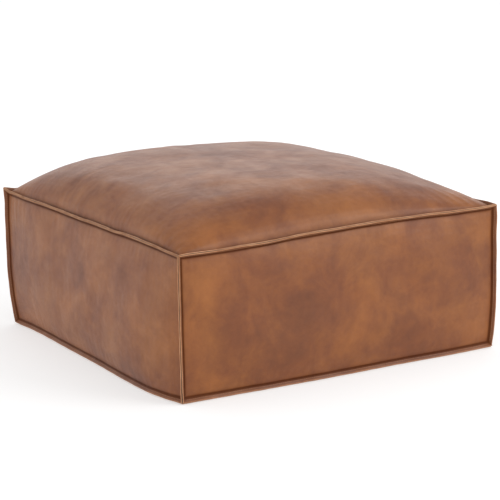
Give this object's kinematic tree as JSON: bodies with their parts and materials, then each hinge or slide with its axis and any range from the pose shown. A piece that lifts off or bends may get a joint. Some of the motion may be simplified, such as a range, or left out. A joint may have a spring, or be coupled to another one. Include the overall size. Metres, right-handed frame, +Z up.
{
  "type": "square leather floor pouf",
  "caption": "Square crowned leather pouf with flanged seams; a zip in its base opens the leather case, and a calico liner holds the foam and fibre filling.",
  "frame": {"origin": "on the floor under the middle of the pouf", "axes": "+Z up; -Y out of the front side; +X along the zip towards its closed end"},
  "size_m": [0.9106, 0.9106, 0.445],
  "materials": {
    "cognac_leather": "satin",
    "sewing_thread": "satin",
    "zip_tape": "matte",
    "zip_coil": "satin",
    "zip_metal": "satin",
    "calico": "matte",
    "fibre": "matte",
    "foam": "matte"
  },
  "bodies": {
    "case": {"top_panel": "cognac_leather", "front_panel": "cognac_leather", "back_panel": "cognac_leather", "left_panel": "cognac_leather", "right_panel": "cognac_leather", "base_panel_front": "cognac_leather", "base_panel_back": "cognac_leather", "zip_end_tabs": "cognac_leather", "top_seam_threads": "sewing_thread", "corner_seam_threads": "sewing_thread", "base_seam_threads": "sewing_thread", "zip_seam_threads": "sewing_thread", "zip_tape_front": "zip_tape", "zip_tape_back": "zip_tape", "zip_coil_front": "zip_coil", "zip_coil_back": "zip_coil", "zip_bottom_stop": "zip_metal", "zip_top_stops": "zip_metal", "liner_case": "calico", "liner_base": "calico", "fibre_wrap": "fibre", "fibre_crown_pad": "fibre", "comfort_foam_slab": "foam", "core_foam_block": "foam", "base_foam_slab": "foam"},
    "zip_slider": {"zip_slider": "zip_metal"},
    "zip_pull": {"zip_pull": "zip_metal"}
  },
  "joints": [
    {"name": "zip_slide", "type": "slide", "parent": "case", "child": "zip_slider", "axis": [-1, 0, 0], "range_m": [0, 0.725]},
    {"name": "pull_flip", "type": "hinge", "parent": "zip_slider", "child": "zip_pull", "pos_m": [0.36, 0, 0.003], "axis": [0, -1, 0], "range_deg": [0, 178]}
  ]
}
